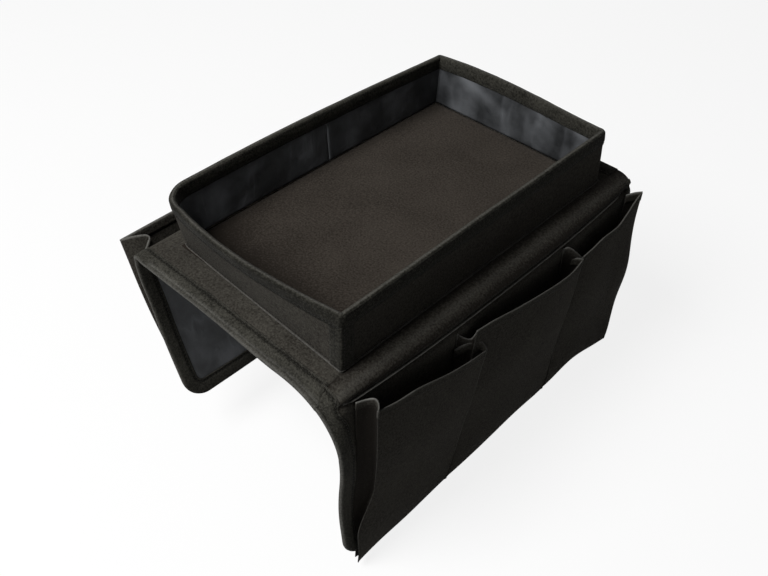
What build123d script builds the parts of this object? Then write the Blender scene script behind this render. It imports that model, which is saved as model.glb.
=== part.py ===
from build123d import *
import math
import os

# Sofa arm tray: a stiffened cloth deck lies on the arm of a sofa, a walled tray is sewn on top of it,
# and a flap hangs from each long side. The right flap carries three pockets in a row and the left
# flap one wide pocket for papers.
# Frame: origin at the centre of the deck's underside, where it meets the sofa arm. X points across
# the arm to the three pockets, Y runs along the arm to the far end, Z is up. Millimetres.

# Materials by thickness
cloth = 0.8
deck_board = 2.4
wall_board = 2.4
floor_board = 2.0
flap_board = 1.6
tape = 0.6
tape_width = 13.5
front_cloth = 1.2
seam_clearance = 0.3

# Tray
tray_length = 320
tray_width = 196
wall_height = 50.3
left_wall_bow = 12
near_wall_bow = 5
lining_seam_gap = 0.4
lining_seam_place_share = 0.56
corner_tape_leg = 9
base_seam_height = 1.6
base_seam_thickness = 0.5

# Deck
near_ledge = 26
far_ledge = 23
fold_half_width = 118
fold_drop = 5
hinge_gap = 3.8

# Flaps, measured down from the fold
right_flap_length = 190
right_flap_swing = 2
right_flap_folds = 4
right_lean_angle = 0
left_flap_length = 150
left_flap_swing = 1.5
left_flap_folds = 2
left_lean_angle = 16
flap_corner_radius = 20
outline_overrun = 40

# Pockets on the right flap. The ends of the fronts are measured in from the flap's ends, or on from
# the two dividers, where the pleats are stitched down.
pocket_seam_rise = 5
right_front_top = 23
right_front_stand = 18
right_front_bulge = 5
front_1_near_top_inset = 28
front_1_near_foot_inset = 10
front_1_far_top_reach = 17.5
front_1_far_foot_reach = 1.5
front_2_near_top_reach = 23.5
front_2_near_foot_reach = 5.5
front_2_far_top_reach = 13.5
front_2_far_foot_reach = 2.5
front_3_near_top_reach = 18.5
front_3_near_foot_reach = 4.5
front_3_far_top_inset = 18
front_3_far_foot_inset = 10
divider_1_share = 0.33
divider_2_share = 0.71
divider_gap = 2.4
pleat_end_inset = 3
pleat_cloth = 1.0
pleat_foot_rise = 36
pleat_knee_depth = 3
pleat_top_drop = 2

# Pocket on the left flap
left_front_top = -11
left_front_stand = 23
left_front_bulge = 4
left_front_end_inset = 12.5
left_pleat_knee = 18
left_pleat_knee_stand_share = 0.5
left_pleat_top = 6

# Heights and places worked out from the sizes above
deck_top = cloth + deck_board + cloth
deck_length = near_ledge + tray_length + far_ledge
deck_half_length = deck_length / 2
tray_middle = (near_ledge - far_ledge) / 2
foot_height = -fold_drop + hinge_gap / 2
cover_roll = deck_top - foot_height
cover_roll_centre = fold_half_width + cloth - cover_roll
lining_roll = cloth - foot_height
lining_roll_centre = fold_half_width - lining_roll
floor_board_top = deck_top + floor_board
wall_top = deck_top + wall_height
wall_thickness = cloth + wall_board + cloth
flap_half_thickness = flap_board / 2 + cloth
front_foot_stand = flap_half_thickness + tape + seam_clearance
divider_1 = deck_length * divider_1_share - deck_half_length
divider_2 = deck_length * divider_2_share - deck_half_length
front_1_top_ends = (front_1_near_top_inset - deck_half_length, divider_1 + front_1_far_top_reach)
front_1_foot_ends = (front_1_near_foot_inset - deck_half_length, divider_1 + front_1_far_foot_reach)
front_2_top_ends = (divider_1 + front_2_near_top_reach, divider_2 + front_2_far_top_reach)
front_2_foot_ends = (divider_1 + front_2_near_foot_reach, divider_2 + front_2_far_foot_reach)
front_3_top_ends = (divider_2 + front_3_near_top_reach, deck_half_length - front_3_far_top_inset)
front_3_foot_ends = (divider_2 + front_3_near_foot_reach, deck_half_length - front_3_far_foot_inset)
left_front_half_length = deck_half_length - left_front_end_inset

os.makedirs("parts", exist_ok=True)


# Profile of a deck layer across the arm: flat, with both sides rolled down to the folds
def deck_layer_face(top, roll_out, centre_out, under, roll_in, centre_in):
    with BuildSketch(Plane.XZ.offset(-deck_half_length)) as layer:
        with BuildLine():
            Line((-centre_out, top), (centre_out, top))
            Line((-centre_in, under), (centre_in, under))
            for side in (-1, 1):
                outer_foot = (side * (centre_out + roll_out), foot_height)
                inner_foot = (side * (centre_in + roll_in), foot_height)
                outer_middle = (side * (centre_out + roll_out * math.sqrt(0.5)),
                                foot_height + roll_out * math.sqrt(0.5))
                inner_middle = (side * (centre_in + roll_in * math.sqrt(0.5)),
                                foot_height + roll_in * math.sqrt(0.5))
                ThreePointArc((side * centre_out, top), outer_middle, outer_foot)
                ThreePointArc((side * centre_in, under), inner_middle, inner_foot)
                Line(outer_foot, inner_foot)
        make_face()
    return layer.sketch


# The profile of the deck's cover and board together, grown by a skin. The lining stops short of the
# end tapes, so that no tape stands below the face that rests on the sofa arm.
def deck_envelope_face(skin):
    return deck_layer_face(deck_top + skin, cover_roll + skin, cover_roll_centre,
                           cloth - skin, lining_roll - skin, lining_roll_centre)


# Outline of the tray at one height, inset from its outer face. The left and near walls bow out
# more and more towards the rim.
def tray_outline(inset, height):
    bow_share = (height - deck_top) / wall_height
    half_x = tray_width / 2 - inset
    near = tray_middle - tray_length / 2 + inset
    far = tray_middle + tray_length / 2 - inset
    left_bow = left_wall_bow * bow_share
    near_bow = near_wall_bow * bow_share
    with BuildSketch(Plane.XY.offset(height)) as outline:
        with BuildLine():
            Line((half_x, near), (half_x, far))
            Line((half_x, far), (-half_x, far))
            if bow_share == 0:
                Line((-half_x, far), (-half_x, near))
                Line((-half_x, near), (half_x, near))
            else:
                ThreePointArc((-half_x, far), (-half_x - left_bow, tray_middle), (-half_x, near))
                ThreePointArc((-half_x, near), (0, near - near_bow), (half_x, near))
        make_face()
    return outline.sketch


# Solid block of the tray's shape between the deck and the top of its walls
def tray_block(inset):
    return loft([tray_outline(inset, deck_top), tray_outline(inset, wall_top)], ruled=True,
                mode=Mode.PRIVATE)


# One wall layer: the ring between two insets
def tray_ring(outer_inset, inner_inset):
    return tray_block(outer_inset) - tray_block(inner_inset)


# Planes of a flap. In a section, x points outward from the fold and y up along the flap. In a face
# plane, y is up along the flap. In a shelf plane, x points outward.
def outward(side, lean):
    return Vector(side * math.cos(math.radians(lean)), 0, -math.sin(math.radians(lean)))


def upward(side, lean):
    return Vector(side * math.sin(math.radians(lean)), 0, math.cos(math.radians(lean)))


def fold_point(side):
    return Vector(side * fold_half_width, 0, -fold_drop)


def section_plane(side, lean):
    return Plane(origin=fold_point(side), x_dir=outward(side, lean), z_dir=(0, -side, 0))


def face_plane(side, lean):
    return Plane(origin=fold_point(side), x_dir=(0, side, 0), z_dir=outward(side, lean))


def shelf_plane(side, lean, depth):
    return Plane(origin=fold_point(side) - upward(side, lean) * depth,
                 x_dir=outward(side, lean), z_dir=upward(side, lean))


# Arcs of a hanging sheet's gentle folds, shifted outward from its middle line. They start at a crest
# a little below the flap's top edge, so the sheet leaves the fold straight down, and they end at
# another crest a little past its bottom edge.
def fold_arcs(shift, length, swing, folds):
    start = hinge_gap
    step = length / folds
    radius = ((step / 2) ** 2 + swing ** 2) / (2 * swing)
    tilt = math.asin(step / 2 / radius)
    arcs = []
    for i in range(folds):
        side = 1 if i % 2 == 0 else -1
        for crest, turn, height in ((side, 1, -start - i * step), (-side, -1, -start - (i + 1) * step)):
            centre = -swing + crest * (swing - radius)
            bend = radius + crest * shift
            corners = [(centre + crest * bend * math.cos(angle), height - turn * bend * math.sin(angle))
                       for angle in (0, tilt / 2, tilt)]
            arcs.append(corners)
    return arcs


# Profile of one flap layer between two shifts. It runs on straight past both ends, so that the
# outline alone trims it.
def flap_face(side, lean, length, swing, folds, inner, outer):
    crest = -hinge_gap
    top = crest + tape_width
    last_crest = crest - length
    bottom = last_crest - tape_width
    with BuildSketch(section_plane(side, lean)) as layer:
        with BuildLine():
            for shift in (inner, outer):
                for corners in fold_arcs(shift, length, swing, folds):
                    ThreePointArc(*corners)
            Polyline((inner, crest), (inner, top), (outer, top), (outer, crest))
            Polyline((inner, last_crest), (inner, bottom), (outer, bottom), (outer, last_crest))
        make_face()
    return layer.sketch


# Outline of a flap seen from outside, with its two lower corners rounded. A rise lifts its top edge.
def flap_outline(side, lean, length, inset, rise):
    half = deck_half_length - inset
    radius = flap_corner_radius - inset
    with BuildSketch(face_plane(side, lean)) as outline:
        with BuildLine():
            Polyline((-half, -length + inset + radius), (-half, rise - hinge_gap / 2),
                     (half, rise - hinge_gap / 2), (half, -length + inset + radius))
            Line((-half + radius, -length + inset), (half - radius, -length + inset))
            for end in (-1, 1):
                middle = (end * (half - radius + radius * math.sqrt(0.5)),
                          -length + inset + radius - radius * math.sqrt(0.5))
                ThreePointArc((end * half, -length + inset + radius), middle,
                              (end * (half - radius), -length + inset))
        make_face()
    return outline.sketch


# Solid of a flap's outline, thicker than the flap, for cutting its layers to shape
def outline_block(side, lean, length, inset, rise):
    return extrude(flap_outline(side, lean, length, inset, rise), amount=outline_overrun, both=True,
                   mode=Mode.PRIVATE)


# One layer of a flap, cut to the outline
def flap_layer(side, lean, length, swing, folds, inner, outer, inset, rise=0):
    sheet = extrude(flap_face(side, lean, length, swing, folds, inner, outer),
                    amount=deck_length, both=True, mode=Mode.PRIVATE)
    return sheet & outline_block(side, lean, length, inset, rise)


# Strip of cloth at one depth below the fold, standing off the flap and bulging at its middle
def front_strip(side, lean, depth, stand, ends, bulge):
    near, far = ends
    middle = (near + far) / 2
    with BuildSketch(shelf_plane(side, lean, depth)) as strip:
        with BuildLine():
            for face in (stand, stand + front_cloth):
                ThreePointArc((face, near), (face + bulge, middle), (face, far))
            Line((stand, near), (stand + front_cloth, near))
            Line((stand, far), (stand + front_cloth, far))
        make_face()
    return strip.sketch


# A pleat's cloth at one depth: from its stitching on the flap, over a knee, to the front's edge
def pleat_strip(side, lean, depth, root, knee, tip):
    with BuildSketch(shelf_plane(side, lean, depth)) as strip:
        with BuildLine():
            Polyline(root, knee, tip, (tip[0], tip[1] + pleat_cloth), (knee[0], knee[1] + pleat_cloth),
                     (root[0], root[1] + pleat_cloth), close=True)
        make_face()
    return strip.sketch


# Deck: cover, board and lining, with bound near and far edges
with BuildPart() as deck_cover:
    extrude(deck_layer_face(deck_top, cover_roll, cover_roll_centre,
                            deck_top - cloth, cover_roll - cloth, cover_roll_centre),
            amount=deck_length)
    with BuildSketch(Plane.XY) as cover_ends:
        Rectangle(2 * (fold_half_width + cloth), deck_length - 2 * tape)
    extrude(amount=deck_length, both=True, mode=Mode.INTERSECT)

with BuildPart() as deck_board_part:
    with BuildSketch(Plane.XY.offset(cloth)):
        Rectangle(2 * cover_roll_centre, deck_length - 2 * tape)
    extrude(amount=deck_board)

with BuildPart() as deck_lining:
    extrude(deck_layer_face(cloth, lining_roll, lining_roll_centre,
                            0, lining_roll - cloth, lining_roll_centre),
            amount=deck_length)
    with BuildSketch(Plane.XY) as lining_ends:
        Rectangle(2 * (fold_half_width + cloth), deck_length - 2 * tape_width)
    extrude(amount=deck_length, both=True, mode=Mode.INTERSECT)


# Tape folded round one end of the deck
def deck_end_tape(end):
    with BuildPart() as end_tape:
        extrude(deck_envelope_face(tape), amount=deck_length)
        with BuildSketch(Plane.XY):
            with Locations((0, end * (deck_half_length - tape_width / 2))):
                Rectangle(2 * (fold_half_width + cloth + tape), tape_width)
        extrude(amount=deck_length, both=True, mode=Mode.INTERSECT)
        extrude(deck_envelope_face(0), amount=deck_length, mode=Mode.SUBTRACT)
        with BuildSketch(Plane.XY.offset(cloth)):
            with Locations((0, end * (deck_half_length - tape / 2))):
                Rectangle(2 * cover_roll_centre, tape)
        extrude(amount=deck_board + cloth)
    return end_tape


deck_near_binding = deck_end_tape(-1)
deck_far_binding = deck_end_tape(1)

# Tray floor: a board on the deck with a cloth over it, inside the walls
with BuildPart() as tray_floor_board:
    with BuildSketch(Plane.XY.offset(deck_top)):
        with Locations((0, tray_middle)):
            Rectangle(tray_width - 2 * (cloth + wall_board), tray_length - 2 * (cloth + wall_board))
    extrude(amount=floor_board)

with BuildPart() as tray_floor_cover:
    with BuildSketch(Plane.XY.offset(floor_board_top)):
        with Locations((0, tray_middle)):
            Rectangle(tray_width - 2 * wall_thickness, tray_length - 2 * wall_thickness)
    extrude(amount=cloth)

# Tray walls: four boards between an outer cover and the linings. The long walls reach the corners
# and the short walls stand between them.
board_ring = tray_ring(cloth, cloth + wall_board)
long_wall_reach = tray_width / 2 - cloth - wall_board
wall_end_gap = seam_clearance


def wall_from_ring(ring, x_range, y_range, floor):
    with BuildPart() as wall:
        add(ring)
        with BuildSketch(Plane.XY.offset(floor)):
            with Locations(((x_range[0] + x_range[1]) / 2, (y_range[0] + y_range[1]) / 2)):
                Rectangle(x_range[1] - x_range[0], y_range[1] - y_range[0])
        extrude(amount=wall_top + deck_top, mode=Mode.INTERSECT)
    return wall


tray_outer_half = tray_width / 2 + left_wall_bow
tray_near_edge = tray_middle - tray_length / 2 - near_wall_bow
tray_far_edge = tray_middle + tray_length / 2
whole_length = (tray_near_edge, tray_far_edge)
short_wall_span = (-long_wall_reach + wall_end_gap, long_wall_reach - wall_end_gap)
near_board_end = tray_middle - tray_length / 2 + wall_thickness
far_board_start = tray_middle + tray_length / 2 - wall_thickness

tray_right_board = wall_from_ring(board_ring, (long_wall_reach, tray_outer_half), whole_length, deck_top)
tray_left_board = wall_from_ring(board_ring, (-tray_outer_half, -long_wall_reach), whole_length, deck_top)
tray_near_board = wall_from_ring(board_ring, short_wall_span, (tray_near_edge, near_board_end), deck_top)
tray_far_board = wall_from_ring(board_ring, short_wall_span, (far_board_start, tray_far_edge), deck_top)

with BuildPart() as tray_outer_cover:
    add(tray_ring(0, cloth))

# Linings: one per wall, the left one in two lengths that meet at an upright seam
lining_ring = tray_ring(cloth + wall_board, wall_thickness)
lining_reach = tray_width / 2 - wall_thickness
lining_near_end = tray_middle - tray_length / 2 + wall_thickness
lining_far_end = tray_middle + tray_length / 2 - wall_thickness
lining_seam_y = lining_near_end + (lining_far_end - lining_near_end) * lining_seam_place_share
lining_span = (-lining_reach + wall_end_gap, lining_reach - wall_end_gap)
tray_near_lining = wall_from_ring(lining_ring, lining_span, (tray_near_edge, lining_near_end),
                                  floor_board_top)
tray_far_lining = wall_from_ring(lining_ring, lining_span, (lining_far_end, tray_far_edge),
                                 floor_board_top)
tray_right_lining = wall_from_ring(lining_ring, (lining_reach, tray_outer_half), whole_length,
                                   floor_board_top)
tray_left_near_lining = wall_from_ring(lining_ring, (-tray_outer_half, -lining_reach),
                                       (tray_near_edge, lining_seam_y - lining_seam_gap / 2),
                                       floor_board_top)
tray_left_far_lining = wall_from_ring(lining_ring, (-tray_outer_half, -lining_reach),
                                      (lining_seam_y + lining_seam_gap / 2, tray_far_edge),
                                      floor_board_top)

# Tape folded over the rim, tape up the near right corner, and the seam round the tray's foot
with BuildPart() as tray_rim_binding:
    add(tray_ring(-tape, wall_thickness + tape))
    with BuildSketch(Plane.XY.offset(wall_top)):
        add(tray_outline(-tape, wall_top).moved(Location((0, 0, -wall_top))))
        add(tray_outline(wall_thickness + tape, wall_top).moved(Location((0, 0, -wall_top))),
            mode=Mode.SUBTRACT)
    extrude(amount=tape)
    add(tray_ring(0, wall_thickness), mode=Mode.SUBTRACT)
    split(bisect_by=Plane.XY.offset(wall_top + tape - tape_width), keep=Keep.TOP)

with BuildPart() as tray_corner_binding:
    add(tray_ring(-tape, 0))
    with BuildSketch(Plane.XY.offset(deck_top + base_seam_height + seam_clearance)):
        with Locations((tray_width / 2 + tape, tray_middle - tray_length / 2 - tape)):
            Rectangle(2 * corner_tape_leg, 2 * corner_tape_leg)
    extrude(amount=wall_height - base_seam_height - tape_width, mode=Mode.INTERSECT)

with BuildPart() as tray_base_seam:
    add(tray_ring(-base_seam_thickness, 0))
    split(bisect_by=Plane.XY.offset(deck_top + base_seam_height), keep=Keep.BOTTOM)


# Flap pieces. The same three layers and edge tape make both flaps.
def flap_piece(side, lean, length, swing, folds, inner, outer):
    with BuildPart() as piece:
        add(flap_layer(side, lean, length, swing, folds, inner, outer, tape))
    return piece


def flap_tape(side, lean, length, swing, folds):
    reach = flap_half_thickness + tape
    with BuildPart() as edge_tape:
        add(flap_layer(side, lean, length, swing, folds, -reach, reach, 0))
        add(outline_block(side, lean, length, tape_width, tape_width), mode=Mode.SUBTRACT)
        add(flap_layer(side, lean, length, swing, folds,
                       -flap_half_thickness, flap_half_thickness, tape, tape), mode=Mode.SUBTRACT)
    return edge_tape


right = (1, right_lean_angle, right_flap_length, right_flap_swing, right_flap_folds)
left = (-1, left_lean_angle, left_flap_length, left_flap_swing, left_flap_folds)
half_board = flap_board / 2

right_flap_lining = flap_piece(*right, -flap_half_thickness, -half_board)
right_flap_board = flap_piece(*right, -half_board, half_board)
right_flap_cover = flap_piece(*right, half_board, flap_half_thickness)
right_flap_binding = flap_tape(*right)
left_flap_lining = flap_piece(*left, -flap_half_thickness, -half_board)
left_flap_board = flap_piece(*left, -half_board, half_board)
left_flap_cover = flap_piece(*left, half_board, flap_half_thickness)
left_flap_binding = flap_tape(*left)


# Fold seam: the two cloths sewn together between the deck's rolled side and a flap. Its upper half
# hangs straight from the roll and its lower half follows the flap.
def fold_seam(side, lean):
    half_gap = hinge_gap / 2
    with BuildPart() as seam:
        for slope, end in ((0, 1), (lean, -1)):
            with BuildSketch(section_plane(side, slope)):
                with Locations((0, end * half_gap / 2)):
                    Rectangle(2 * cloth, half_gap)
                Circle(cloth)
            extrude(amount=deck_half_length - tape, both=True)
    return seam


right_fold_seam = fold_seam(1, right_lean_angle)
left_fold_seam = fold_seam(-1, left_lean_angle)


# Pocket fronts: each tapers from a straight foot, sewn to the flap, to a top edge that stands off it
def pocket_front(side, lean, top, foot, stand, top_ends, foot_ends, bulge, foot_bulge):
    with BuildPart() as front:
        loft([front_strip(side, lean, foot, front_foot_stand, foot_ends, foot_bulge),
              front_strip(side, lean, top, stand, top_ends, bulge)], ruled=True)
    return front


foot_bulge = seam_clearance
right_foot = right_flap_length - pocket_seam_rise
left_foot = left_flap_length - pocket_seam_rise
right_front = (1, right_lean_angle, right_front_top, right_foot, right_front_stand)
right_pocket_1_front = pocket_front(*right_front, front_1_top_ends, front_1_foot_ends,
                                    right_front_bulge, foot_bulge)
right_pocket_2_front = pocket_front(*right_front, front_2_top_ends, front_2_foot_ends,
                                    right_front_bulge, foot_bulge)
right_pocket_3_front = pocket_front(*right_front, front_3_top_ends, front_3_foot_ends,
                                    right_front_bulge, foot_bulge)
left_front_ends = (-left_front_half_length, left_front_half_length)
left_pocket_front = pocket_front(-1, left_lean_angle, left_front_top, left_foot, left_front_stand,
                                 left_front_ends, left_front_ends, left_front_bulge, foot_bulge)


# Pleats: the cloth that joins each end of a front to the flap. A straight pleat on the right flap
# runs from its stitching to the front's edge, and the left pocket's pleats fold in at a knee.
def front_stand_at(depth, top, foot, stand):
    return front_foot_stand + (stand - front_foot_stand) * (foot - depth) / (foot - top)


def end_at(depth, top, foot, top_end, foot_end):
    return top_end + (foot_end - top_end) * (depth - top) / (foot - top)


pleat_root_stand = flap_half_thickness + tape + seam_clearance


def right_pleat(root_y, top_end, foot_end, knee_turn):
    sections = []
    top = right_front_top + pleat_top_drop
    for depth in (right_foot - pleat_foot_rise, top):
        stand = front_stand_at(depth, right_front_top, right_foot, right_front_stand)
        tip_y = end_at(depth, right_front_top, right_foot, top_end, foot_end)
        tip_stand = stand - seam_clearance
        depth_share = (tip_stand - pleat_root_stand) / (right_front_stand - pleat_root_stand)
        knee = ((pleat_root_stand + tip_stand) / 2,
                (root_y + tip_y) / 2 + knee_turn * pleat_knee_depth * depth_share)
        sections.append(pleat_strip(1, right_lean_angle, depth, (pleat_root_stand, root_y), knee,
                                    (tip_stand, tip_y)))
    with BuildPart() as pleat:
        loft(sections, ruled=True)
    return pleat


flap_end = deck_half_length - pleat_end_inset
right_pocket_1_near_pleat = right_pleat(-flap_end, front_1_top_ends[0], front_1_foot_ends[0], 1)
right_pocket_1_far_pleat = right_pleat(divider_1 - divider_gap / 2 - pleat_cloth,
                                       front_1_top_ends[1] - pleat_cloth,
                                       front_1_foot_ends[1] - pleat_cloth, -1)
right_pocket_2_near_pleat = right_pleat(divider_1 + divider_gap / 2,
                                        front_2_top_ends[0], front_2_foot_ends[0], -1)
right_pocket_2_far_pleat = right_pleat(divider_2 - divider_gap / 2 - pleat_cloth,
                                       front_2_top_ends[1] - pleat_cloth,
                                       front_2_foot_ends[1] - pleat_cloth, -1)
right_pocket_3_near_pleat = right_pleat(divider_2 + divider_gap / 2,
                                        front_3_top_ends[0], front_3_foot_ends[0], -1)
right_pocket_3_far_pleat = right_pleat(flap_end - pleat_cloth, front_3_top_ends[1] - pleat_cloth,
                                       front_3_foot_ends[1] - pleat_cloth, -1)


def left_pleat(end):
    sections = []
    root_y = end * flap_end - (1 + end) / 2 * pleat_cloth
    tip_y = end * left_front_half_length - (1 + end) / 2 * pleat_cloth
    for depth in (left_foot - pleat_foot_rise, left_pleat_top):
        stand = front_stand_at(depth, left_front_top, left_foot, left_front_stand)
        tip_stand = stand - seam_clearance
        depth_share = (tip_stand - pleat_root_stand) / (left_front_stand - pleat_root_stand)
        knee_stand = pleat_root_stand + (tip_stand - pleat_root_stand) * left_pleat_knee_stand_share
        knee = (knee_stand, tip_y - end * left_pleat_knee * depth_share)
        sections.append(pleat_strip(-1, left_lean_angle, depth, (pleat_root_stand, root_y), knee,
                                    (tip_stand, tip_y)))
    with BuildPart() as pleat:
        loft(sections, ruled=True)
    return pleat


left_pocket_near_pleat = left_pleat(1)
left_pocket_far_pleat = left_pleat(-1)

pieces = {
    "deck_cover": deck_cover,
    "deck_board": deck_board_part,
    "deck_lining": deck_lining,
    "deck_near_binding": deck_near_binding,
    "deck_far_binding": deck_far_binding,
    "tray_floor_board": tray_floor_board,
    "tray_floor_cover": tray_floor_cover,
    "tray_right_board": tray_right_board,
    "tray_left_board": tray_left_board,
    "tray_near_board": tray_near_board,
    "tray_far_board": tray_far_board,
    "tray_outer_cover": tray_outer_cover,
    "tray_near_lining": tray_near_lining,
    "tray_far_lining": tray_far_lining,
    "tray_right_lining": tray_right_lining,
    "tray_left_near_lining": tray_left_near_lining,
    "tray_left_far_lining": tray_left_far_lining,
    "tray_rim_binding": tray_rim_binding,
    "tray_corner_binding": tray_corner_binding,
    "tray_base_seam": tray_base_seam,
    "right_fold_seam": right_fold_seam,
    "right_flap_lining": right_flap_lining,
    "right_flap_board": right_flap_board,
    "right_flap_cover": right_flap_cover,
    "right_flap_binding": right_flap_binding,
    "right_pocket_1_front": right_pocket_1_front,
    "right_pocket_2_front": right_pocket_2_front,
    "right_pocket_3_front": right_pocket_3_front,
    "right_pocket_1_near_pleat": right_pocket_1_near_pleat,
    "right_pocket_1_far_pleat": right_pocket_1_far_pleat,
    "right_pocket_2_near_pleat": right_pocket_2_near_pleat,
    "right_pocket_2_far_pleat": right_pocket_2_far_pleat,
    "right_pocket_3_near_pleat": right_pocket_3_near_pleat,
    "right_pocket_3_far_pleat": right_pocket_3_far_pleat,
    "left_fold_seam": left_fold_seam,
    "left_flap_lining": left_flap_lining,
    "left_flap_board": left_flap_board,
    "left_flap_cover": left_flap_cover,
    "left_flap_binding": left_flap_binding,
    "left_pocket_front": left_pocket_front,
    "left_pocket_near_pleat": left_pocket_near_pleat,
    "left_pocket_far_pleat": left_pocket_far_pleat,
}
for name, piece in pieces.items():
    piece.part.label = name
    export_step(piece.part, f"parts/{name}.step")
    size = piece.part.bounding_box().size
    print(f"{name}: {len(piece.part.solids())} solid, {size.X:.1f} x {size.Y:.1f} x {size.Z:.1f} mm")
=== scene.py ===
# %% [markdown]
# # Sofa arm tray
# A tray that hangs over the arm of a sofa: a stiffened cloth deck, a walled tray sewn on top, a flap
# with three pockets on the right and a flap with one wide pocket on the left. The packed model gives
# the real sizes and the joints, and this script dresses each of its solids in cloth.

# %% Load the frame
import math

import bmesh
import bpy
from mathutils import Matrix, Vector, noise


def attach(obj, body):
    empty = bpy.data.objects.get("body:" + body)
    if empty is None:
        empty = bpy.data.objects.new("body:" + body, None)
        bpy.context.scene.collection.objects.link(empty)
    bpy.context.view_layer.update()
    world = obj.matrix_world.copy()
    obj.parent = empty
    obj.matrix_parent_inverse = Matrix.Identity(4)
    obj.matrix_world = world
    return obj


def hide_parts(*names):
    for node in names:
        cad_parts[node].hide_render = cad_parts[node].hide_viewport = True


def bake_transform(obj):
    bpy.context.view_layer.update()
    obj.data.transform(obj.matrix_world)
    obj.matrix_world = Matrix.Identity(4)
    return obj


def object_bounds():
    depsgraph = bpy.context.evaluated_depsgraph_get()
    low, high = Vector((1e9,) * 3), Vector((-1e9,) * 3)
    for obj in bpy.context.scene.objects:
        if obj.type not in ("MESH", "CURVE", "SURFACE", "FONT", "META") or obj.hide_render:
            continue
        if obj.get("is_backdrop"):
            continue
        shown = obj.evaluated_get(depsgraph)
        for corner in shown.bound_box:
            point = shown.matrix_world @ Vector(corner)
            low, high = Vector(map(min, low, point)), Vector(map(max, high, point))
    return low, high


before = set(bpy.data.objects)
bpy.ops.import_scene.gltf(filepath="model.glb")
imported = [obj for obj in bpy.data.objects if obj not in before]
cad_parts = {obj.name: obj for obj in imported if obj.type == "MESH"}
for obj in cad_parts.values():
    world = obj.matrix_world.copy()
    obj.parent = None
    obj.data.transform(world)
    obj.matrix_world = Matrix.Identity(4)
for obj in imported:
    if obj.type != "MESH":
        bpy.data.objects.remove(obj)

size_report = {"cad": [list(corner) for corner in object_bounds()]}

# %% [markdown]
# ## Camera
# The camera stands where the photographer did, a little above the near right corner. Its place and
# its turn were worked out from the tray's straight edges. It is made first, so that every later cell
# can be judged through it.

# %% Camera
MM = 0.001
photo_width = 768
focal_length_in_pixels = 918.06
camera_place = Vector((424.66, -459.63, 484.56)) * MM
camera_heading = math.radians(-43.628)
camera_tilt_down = math.radians(42.190)
camera_roll = math.radians(0.381)

ahead = Vector((math.sin(camera_heading) * math.cos(camera_tilt_down),
                math.cos(camera_heading) * math.cos(camera_tilt_down), -math.sin(camera_tilt_down)))
level_right = Vector((math.cos(camera_heading), -math.sin(camera_heading), 0))
level_up = level_right.cross(ahead)
camera_right = level_right * math.cos(camera_roll) + level_up * math.sin(camera_roll)
camera_up = level_up * math.cos(camera_roll) - level_right * math.sin(camera_roll)

camera_data = bpy.data.cameras.new("camera")
camera_data.sensor_width = 36
camera_data.lens = focal_length_in_pixels / photo_width * camera_data.sensor_width
camera_data.clip_start = 0.01
camera = bpy.data.objects.new("camera", camera_data)
bpy.context.scene.collection.objects.link(camera)
turn = Matrix((camera_right, camera_up, -ahead)).transposed()
camera.matrix_world = Matrix.Translation(camera_place) @ turn.to_4x4()
bpy.context.scene.camera = camera
print("lens", round(camera_data.lens, 2), "mm")

# %% [markdown]
# ## Shader maths written as expressions
# Nodes are hard to read in a script, so a socket is wrapped in a small class whose operators add the
# Math nodes. A pattern can then be written down as a formula.


# %% Channels
class Channel:
    """One output of a node, which can be used in a formula."""

    def __init__(self, nodes, socket):
        self.nodes, self.socket = nodes, socket

    def maths(self, operation, other=None, swapped=False):
        """Adds a Math node. A swapped one takes the other value first."""
        values = [self] if other is None else ([other, self] if swapped else [self, other])
        return self.nodes.node("ShaderNodeMath", {"operation": operation}, dict(enumerate(values)))

    def __add__(self, other):
        return self.maths("ADD", other)

    def __sub__(self, other):
        return self.maths("SUBTRACT", other)

    def __rsub__(self, other):
        return self.maths("SUBTRACT", other, swapped=True)

    def __mul__(self, other):
        return self.maths("MULTIPLY", other)

    __radd__, __rmul__ = __add__, __mul__

    def clamped(self):
        return self.maths("MINIMUM", 1).maths("MAXIMUM", 0)

    def wave(self, width):
        """A sine that repeats every width, in millimetres."""
        return (self * (2 * math.pi / (width * MM))).maths("SINE")


print("operators:", [name for name in vars(Channel) if name.endswith(("add__", "sub__", "mul__"))])


# %% Nodes and paint
class Nodes:
    """The nodes of a material or of the world."""

    def __init__(self, tree):
        self.tree = tree

    def node(self, kind, settings=None, inputs=None, output=0):
        """Adds a node. Its settings are made first, then each input gets its value or its link."""
        made = self.tree.nodes.new(kind)
        for name, value in (settings or {}).items():
            setattr(made, name, value)
        for socket, value in (inputs or {}).items():
            if isinstance(value, Channel):
                self.tree.links.new(value.socket, made.inputs[socket])
            else:
                made.inputs[socket].default_value = value
        return Channel(self, made.outputs[output])


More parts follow.
